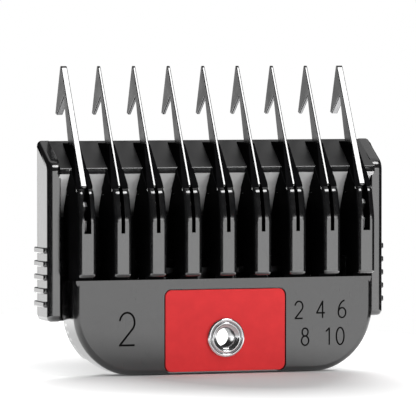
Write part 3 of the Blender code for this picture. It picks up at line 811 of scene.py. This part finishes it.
# Material slots of a tine (sides, edges, a painted-shade copy and a painted-glint copy), and the heights
# where its finish changes
TINE_SIDE, TINE_EDGE, TINE_PAINTED_SHADE, TINE_PAINTED_GLINT = range(4)
HOOD_TOP = 28.35
TIP_BEVEL_Z = 46.05


def tine_outline():
    """Straight front edge, stepped neck, round eye on the pin, tail, and hooked tip."""
    eye = arc(EYE_Y, EYE_Z, EYE_R, 112, 248, 16)
    front = yz((10.07, 46.3), (9.86, 46.03), (0.5, 28.55), (0.5, 28.2)) + [(eye[0][0], 28.0)]
    tail = [(eye[-1][0], 23.5)] + yz((0.4, 23.3), (0.4, 21.65), (2.9, 21.65), (2.9, 27.4))
    back = yz((4.9, 31.2), (6.75, 35.2), (8.75, 41.7), (12.15, 38.9), (12.85, 39.1), (10.4, 46.3))
    return front + eye + tail + back


def every_edge_across_x(first, second):
    return abs(first.x - second.x) < 0.001


def every_edge_across_y(first, second):
    return abs(first.y - second.y) < 0.001


def tine_finish(centre_z, normal):
    """Material slot of a tine's face: painted shade on the bevels, the tip's top and in the slot, painted
    glints on eye and tail.
    """
    if abs(normal.x) > 0.9:
        return TINE_PAINTED_SHADE if centre_z < HOOD_TOP else TINE_SIDE
    on_eye = 25.3 < centre_z < 26.1
    on_tail = 21 < centre_z < 23.3
    if normal.y < -0.7 and (on_eye or on_tail):
        return TINE_PAINTED_GLINT
    in_slot = 23.3 < centre_z < HOOD_TOP
    on_bevel = abs(normal.x) > 0.2 and normal.y < 0
    if in_slot or centre_z > TIP_BEVEL_Z or on_bevel:
        return TINE_PAINTED_SHADE
    return TINE_EDGE if normal.y < 0 and normal.z > -0.2 else TINE_SIDE


def make_tine(index, materials):
    low, high = TINE_BOXES[index]
    name = "tine_blade_%d" % (index + 1)
    rounding = round_edges(0.14, 2, every_edge_across_x)
    tine = prism_x(name, tine_outline(), low.x, high.x, rounding)
    eye = circle(EYE_Y, EYE_Z, PIN_R + PIN_GAP, 32)
    cut(tine, prism_x("eye", eye, low.x - CLEAR, high.x + CLEAR))
    finish_surface(tine, 30)
    dress(tine, "comb", ["tine_%d" % (index + 1)], "tine_steel", *materials)
    for polygon in tine.data.polygons:
        polygon.material_index = tine_finish(polygon.center.z / MM, polygon.normal)
    return tine


def make_pin(index, material):
    low, high = node_box("tine_pin_%d" % (index + 1))
    name = "tine_cross_pin_%d" % (index + 1)
    outline = circle(EYE_Y, EYE_Z, PIN_R, 32)
    rounding = round_edges(0.08, 2, every_edge_across_x)
    pin = prism_x(name, outline, low.x, high.x, rounding)
    finish_surface(pin)
    return dress(pin, "comb", ["tine_pin_%d" % (index + 1)], "tine_steel", material)


def make_colour_plate(material):
    half_w, bottom, top = COLOUR_HIGH.x, COLOUR_LOW.z, COLOUR_HIGH.z
    radius = POCKET_R - PLATE_GAP
    outline = rounded_outline(half_w, bottom, top, radius, radius, 10)

    def front_edge(first, second):
        return first.y < FRONT + 0.01 and second.y < FRONT + 0.01

    plate = prism_y("colour_insert", outline, FRONT, COLOUR_HIGH.y, round_edges(0.1, 3, front_edge))
    hole = circle(0, RIVET_Z, RIVET_BARREL_R + RIVET_GAP)
    cut(plate, prism_y("hole", hole, FRONT - CLEAR, FRONT + PLATE_T))
    finish_surface(plate)
    return dress(plate, "comb", ["colour_plate"], "red_plastic", material)


def make_rivet(material):
    """Rolled flange with a groove round its crown, a flared mouth, and a rolled tail."""
    front = RIVET_LOW.y
    seat = FRONT - 0.06
    tail = RIVET_HIGH.y
    lip = 0.3
    profile = [(RIVET_BORE_R, tail - 0.8), (RIVET_BORE_R, front + 1.0)]
    profile += arc(RIVET_BORE_R + 0.45, front + 0.62, 0.45, 180, 270, 6)[1:]
    profile += arc(2.12, front + 0.22, 0.22, 200, 340, 8)
    profile += [(2.42, front + 0.3)]
    profile += arc(RIVET_FLANGE_R - lip, front + lip, lip, 215, 360, 10)
    profile += [(RIVET_FLANGE_R, seat - 0.03), (RIVET_FLANGE_R - 0.05, seat)]
    profile += [(RIVET_BARREL_R, seat), (RIVET_BARREL_R, tail - 0.45)]
    profile += [(RIVET_FLANGE_R - 0.3, tail - 0.45)]
    profile += arc(RIVET_FLANGE_R - 0.45, tail - 0.25, 0.2, 0, 80, 5)
    profile += [(RIVET_BARREL_R, tail)]
    rivet = turned_y("hollow_rivet", profile, 0, RIVET_Z)
    finish_surface(rivet, 42)
    return dress(rivet, "comb", ["eyelet"], "chrome", material)


def make_washer(material):
    low, high = node_box("eyelet_washer")
    inner = RIVET_BARREL_R + RIVET_GAP
    edge = 0.08
    profile = [(inner, low.y), (high.x - edge, low.y), (high.x, low.y + edge)]
    profile += [(high.x, high.y - edge), (high.x - edge, high.y), (inner, high.y)]
    washer = turned_y("rivet_washer", profile, 0, RIVET_Z)
    finish_surface(washer)
    return dress(washer, "comb", ["eyelet_washer"], "spring_steel", material)


def make_slide(material):
    """Sheet-steel slide with a window and spring slots, bent into a hook at its foot."""
    front = SLIDE_LOW.y
    back = front + SLIDE_T
    outline = rounded_outline(SLIDE_HIGH.x, SLIDE_LOW.z, SLIDE_HIGH.z, 1.2, 1.2)
    slide = prism_y("hook_slide_plate", outline, front, back, round_edges(0.08, 2, every_edge_across_y))
    window = rounded_outline(**SLIDE_WINDOW)
    cut(slide, prism_y("window", window, front - CLEAR, back + CLEAR))
    for sign in (-1, 1):
        low = (sign * SPRING_X - SPRING_SLOT_HALF_W, front - CLEAR, SPRING_SLOT_BOTTOM)
        high = (sign * SPRING_X + SPRING_SLOT_HALF_W, back + CLEAR, SPRING_SLOT_TOP)
        cut(slide, box("spring_slot", low, high))
    hook_back = SLIDE_HIGH.y
    bottom = SLIDE_LOW.z
    outer_r = 1.1
    inner_r = outer_r - SLIDE_T
    foot = [(front, bottom)] + arc(hook_back - outer_r, bottom + outer_r, outer_r, 270, 360, 8)
    foot += soften([(hook_back, HOOK_LIP_TOP), (hook_back - SLIDE_T, HOOK_LIP_TOP)], [0, 0])
    foot += arc(hook_back - outer_r, bottom + outer_r, inner_r, 360, 270, 6)
    foot += [(front, bottom + SLIDE_T)]
    rounding = round_edges(0.1, 2, every_edge_across_x)
    join(slide, prism_x("foot", foot, -HOOK_HALF_W, HOOK_HALF_W, rounding))
    dip = [(-5.6, 5.0), (-4.9, 3.0), (4.9, 3.0), (5.6, 5.0)]
    cut(slide, prism_y("dip", soften(dip, [0, 0.8, 0.8, 0]), hook_back - 1.5, hook_back + CLEAR))
    finish_surface(slide)
    return dress(slide, "slide", ["slide_hook"], "tine_steel", material)


def make_cover(material):
    front, back = COVER_LOW.y, COVER_HIGH.y
    outline = rounded_outline(COVER_HIGH.x, COVER_LOW.z, COVER_TOP, 1.4, 1.4)
    cover = prism_y("rear_cover_plate", outline, front, back, round_edges(0.08, 2, every_edge_across_y))
    neck = rounded_outline(COVER_NECK_HALF_W, COVER_TOP - 3, COVER_HIGH.z, 0.2, 0.4)
    join(cover, prism_y("neck", neck, front, back, round_edges(0.08, 2, every_edge_across_y)))
    window = rounded_outline(**COVER_WINDOW)
    cut(cover, prism_y("window", window, front - CLEAR, back + CLEAR))
    for sign in (-1, 1):
        for z_mid in SCREW_Z:
            hole = circle(sign * SCREW_X, z_mid, SCREW_R + SCREW_GAP, 32)
            cut(cover, prism_y("hole", hole, front - CLEAR, back + CLEAR))
    finish_surface(cover)
    return dress(cover, "comb", ["rear_cover"], "tine_steel", material)


def make_screw(node, x_mid, z_mid, material):
    """Cheese-head screw with a domed, slotted head and a threaded-looking shank."""
    low, high = node_box(node)
    head_front = COVER_HIGH.y + 0.06
    head_r = 1.0
    profile = [(0.001, low.y), (SCREW_R - 0.15, low.y)]
    pitch = 0.3
    turns = int((head_front - low.y - 0.4) / pitch)
    for i in range(turns):
        y = low.y + 0.2 + i * pitch
        profile += [(SCREW_R, y), (SCREW_R - 0.09, y + pitch / 2)]
    profile += [(SCREW_R, head_front), (head_r, head_front), (head_r, high.y - 0.15)]
    profile += [(head_r * 0.94, high.y - 0.06), (head_r * 0.75, high.y), (0.001, high.y)]
    screw = turned_y(node + "_head", profile, x_mid, z_mid, 40)
    slot_low = (x_mid - 2 * head_r, high.y - 0.2, z_mid - 0.14)
    slot_high = (x_mid + 2 * head_r, high.y + CLEAR, z_mid + 0.14)
    cut(screw, box("drive_slot", slot_low, slot_high))
    finish_surface(screw)
    return dress(screw, "comb", [node], "chrome", material)


def make_spring(node, x_mid, material):
    """Coil with capped ends, built at one length; the real spring shortens towards its fixed lug as the
    slide moves.
    """
    low, high = node_box(node)
    wire_r = SPRING_WIRE_R
    coil_r = SPRING_R - wire_r
    turns, steps, sides = 8, 32, 12
    count = turns * steps
    bm = bmesh.new()
    rings = []
    for i in range(count + 1):
        angle = 2 * pi * i / steps
        outward = Vector((cos(angle), sin(angle), 0))
        z = low.z + wire_r + (high.z - low.z - 2 * wire_r) * i / count
        middle = Vector((x_mid, SPRING_Y, z)) + outward * coil_r
        ring = []
        for j in range(sides):
            turn = 2 * pi * j / sides
            spoke = outward * cos(turn) + Vector((0, 0, sin(turn)))
            ring.append(bm.verts.new(middle + wire_r * spoke))
        rings.append(ring)
    for ring, following in zip(rings, rings[1:]):
        for j in range(sides):
            k = (j + 1) % sides
            bm.faces.new((ring[j], ring[k], following[k], following[j]))
    bm.faces.new(rings[0][::-1])
    bm.faces.new(rings[-1])
    spring = object_from_bmesh(node + "_coil", bm)
    finish_surface(spring, 60)
    dress(spring, "comb", [node], "spring_steel", material)
    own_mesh(spring)
    return spring


def make_guide_pin(node, x_mid, material):
    low, high = node_box(node)
    radius = high.x - x_mid
    bm = bmesh.new()
    rings = []
    steps = 24
    for r, z in ((radius, low.z), (radius, high.z - 0.15), (radius * 0.6, high.z)):
        rings.append([bm.verts.new((x, y, z)) for x, y in circle(x_mid, SPRING_Y, r, steps)])
    bm.faces.new(rings[0][::-1])
    bm.faces.new(rings[-1])
    for ring, following in zip(rings, rings[1:]):
        for j in range(steps):
            k = (j + 1) % steps
            bm.faces.new((ring[j], ring[k], following[k], following[j]))
    pin = object_from_bmesh(node + "_post", bm)
    finish_surface(pin)
    return dress(pin, "comb", [node], "spring_steel", material)


# ------------------------------------------------------------------------ stage


def area_light(name, direction, distance, size, radiance, aim=(0, 0, 0.02), in_reflections=True):
    """Softbox of the given radiance, seen from aim in the given direction."""
    data = bpy.data.lights.new(name, "AREA")
    data.shape = "RECTANGLE"
    data.size, data.size_y = size
    data.energy = radiance * pi * size[0] * size[1]
    light = bpy.data.objects.new(name, data)
    bpy.context.scene.collection.objects.link(light)
    towards = Vector(direction).normalized()
    light.location = Vector(aim) + towards * distance
    light.rotation_euler = towards.to_track_quat("Z", "Y").to_euler()
    light.visible_camera = False
    light.visible_glossy = in_reflections
    return light


# Soft patches of light on the studio's walls: centre, stretch, radius, softness, strength
PATCHES = (
    ((0.337, -0.94, -0.03), (1.0, 1.0, 1.0), 0.27, 0.1, 1.75),
    ((0.337, -0.93, 0.13), (0.6, 0.6, 5.0), 0.2, 0.08, 1.6),
    ((-0.337, 0.94, 0.0), (1.0, 1.0, 1.3), 0.36, 0.18, 1.35),
    ((0.337, 0.361, 0.867), (1.0, 1.0, 1.0), 0.6, 0.2, 0.5),
)
ROOM_LIGHT = 0.03
FLOOR_GLOW = 0.9


def make_world():
    """White to the camera; for light and reflections a dim room with soft bright patches."""
    world = bpy.data.worlds.new("studio")
    bpy.context.scene.world = world
    world.use_nodes = True
    tree = world.node_tree
    tree.nodes.clear()
    link = tree.links.new
    coordinates = tree.nodes.new("ShaderNodeTexCoord")
    total = None
    for centre, stretch, radius, softness, strength in PATCHES:
        offset = tree.nodes.new("ShaderNodeVectorMath")
        offset.operation = "SUBTRACT"
        offset.inputs[1].default_value = centre
        link(coordinates.outputs["Generated"], offset.inputs[0])
        scaled = tree.nodes.new("ShaderNodeVectorMath")
        scaled.operation = "MULTIPLY"
        scaled.inputs[1].default_value = stretch
        link(offset.outputs["Vector"], scaled.inputs[0])
        away = tree.nodes.new("ShaderNodeVectorMath")
        away.operation = "LENGTH"
        link(scaled.outputs["Vector"], away.inputs[0])
        fade = tree.nodes.new("ShaderNodeMapRange")
        fade.interpolation_type = "SMOOTHSTEP"
        fade.inputs["From Min"].default_value = radius - softness
        fade.inputs["From Max"].default_value = radius
        fade.inputs["To Min"].default_value = strength
        fade.inputs["To Max"].default_value = 0.0
        link(away.outputs["Value"], fade.inputs["Value"])
        add = tree.nodes.new("ShaderNodeMath")
        add.inputs[0].default_value = ROOM_LIGHT
        if total is not None:
            link(total, add.inputs[0])
        link(fade.outputs["Result"], add.inputs[1])
        total = add.outputs["Value"]
    room = tree.nodes.new("ShaderNodeBackground")
    link(total, room.inputs["Strength"])
    room.inputs["Color"].default_value = (1, 1, 1, 1)
    white = tree.nodes.new("ShaderNodeBackground")
    white.inputs["Color"].default_value = (1, 1, 1, 1)
    path = tree.nodes.new("ShaderNodeLightPath")
    mix = tree.nodes.new("ShaderNodeMixShader")
    output = tree.nodes.new("ShaderNodeOutputWorld")
    link(path.outputs["Is Camera Ray"], mix.inputs["Fac"])
    link(room.outputs["Background"], mix.inputs[1])
    link(white.outputs["Background"], mix.inputs[2])
    link(mix.outputs["Shader"], output.inputs["Surface"])


def make_floor():
    """Pale paper floor; far from the comb it glows a little, so that it melts into white."""
    bm = bmesh.new()
    bmesh.ops.create_circle(bm, cap_ends=True, segments=128, radius=1.0)
    bmesh.ops.scale(bm, vec=(0.07, 0.16, 1.0), verts=bm.verts)
    floor = object_from_bmesh("studio_floor", bm)
    floor.location.z = -0.02 * MM
    n = Nodes("studio_floor")
    n.constants(Roughness=0.8, Specular_IOR_Level=0.2)
    paper = n.noise(n.millimetres((0.02, 0.02, 0.02)), 1.0, 3.0)
    colour = n.blend_colours(paper, (0.93, 0.93, 0.93, 1), (0.95, 0.95, 0.95, 1))
    n.put(n.shader.inputs["Base Color"], colour)
    reach = n.add("ShaderNodeVectorMath", {"operation": "LENGTH"})
    n.put(reach.inputs[0], n.millimetres((1.0, 0.42, 1.0)))
    n.shader.inputs["Emission Color"].default_value = (1, 1, 1, 1)
    glow = n.spread(reach.outputs["Value"], 0.0, FLOOR_GLOW, 13.0, 46.0)
    n.put(n.shader.inputs["Emission Strength"], glow)
    floor.data.materials.append(n.material)
    return floor


def make_lights():
    """One softbox that shows in reflections, fills that don't."""
    area_light("front_top_softbox", (0.337, -0.542, 0.77), 0.9, (0.42, 0.28), 7.0)
    area_light("front_low_fill", (0.1, -1.0, 0.1), 1.2, (0.6, 0.6), 5.0, in_reflections=False)
    area_light("overhead_fill", (0.1, 0.1, 1.0), 1.0, (0.8, 0.8), 0.5, in_reflections=False)
    area_light("back_right_fill", (0.35, 0.75, 0.5), 1.0, (0.5, 0.5), 13.0, in_reflections=False)


def make_camera():
    yaw, tilt = radians(CAMERA_YAW), radians(CAMERA_TILT)
    direction = Vector((sin(yaw) * cos(tilt), cos(yaw) * cos(tilt), -sin(tilt)))
    data = bpy.data.cameras.new("camera")
    data.lens = CAMERA_LENS
    data.sensor_width = 36.0
    camera = bpy.data.objects.new("camera", data)
    camera.location = CAMERA_AIM - direction * CAMERA_DISTANCE
    camera.rotation_euler = direction.to_track_quat("-Z", "Y").to_euler()
    bpy.context.scene.collection.objects.link(camera)
    bpy.context.scene.camera = camera


def main():
    bpy.context.scene.view_settings.view_transform = "Standard"
    red = red_plastic()
    steels = {row[0]: steel(*row) for row in STEELS}
    # The tine's dark and bright copies carry painted shade and painted glints.
    tine_steels = [steels["tine_steel_" + part] for part in ("sides", "edges", "dark", "bright")]
    plate_steel, shade_painted = steels["plate_steel"], steels["shade_painted_steel"]
    chrome, wire = steels["chrome"], steels["spring_wire"]
    gloss = black_plastic("black_plastic", 1.75, 1.0, 0.15, 0.24)
    satin = black_plastic("black_plastic_satin", 2.1, 0.0, 0.35, 0.45)
    # A matt copy that reflects almost nothing, painting shade onto hoods, fin sides and the hollow behind
    # the pillars.
    matt_painted_shade = black_plastic("black_plastic_matt_painted_shade", 1.03, 0.0, 0.4, 0.55)
    # Less reflective copy of the gloss for the plate's front: painted shade, darker than the pillars.
    front = black_plastic("black_plastic_front", 1.5, 1.0, 0.15, 0.24)
    make_body((gloss, mark_black(), satin, matt_painted_shade, painted_underside_reflection(), front))
    for index in range(TINE_COUNT):
        make_tine(index, tine_steels)
        make_pin(index, plate_steel)
    make_colour_plate(red)
    make_rivet(chrome)
    make_washer(wire)
    make_slide(plate_steel)
    # The cover and the spring guide pins take the near-black steel: painted shade.
    make_cover(shade_painted)
    for sign, side in ((-1, "left"), (1, "right")):
        make_spring("return_spring_" + side, sign * SPRING_X, wire)
        make_guide_pin("spring_pin_" + side, sign * SPRING_X, shade_painted)
        for z_mid, level in zip(SCREW_Z, ("lower", "upper")):
            make_screw("cover_screw_%s_%s" % (side, level), sign * SCREW_X, z_mid, chrome)
    make_world()
    make_floor()
    make_lights()
    make_camera()


main()
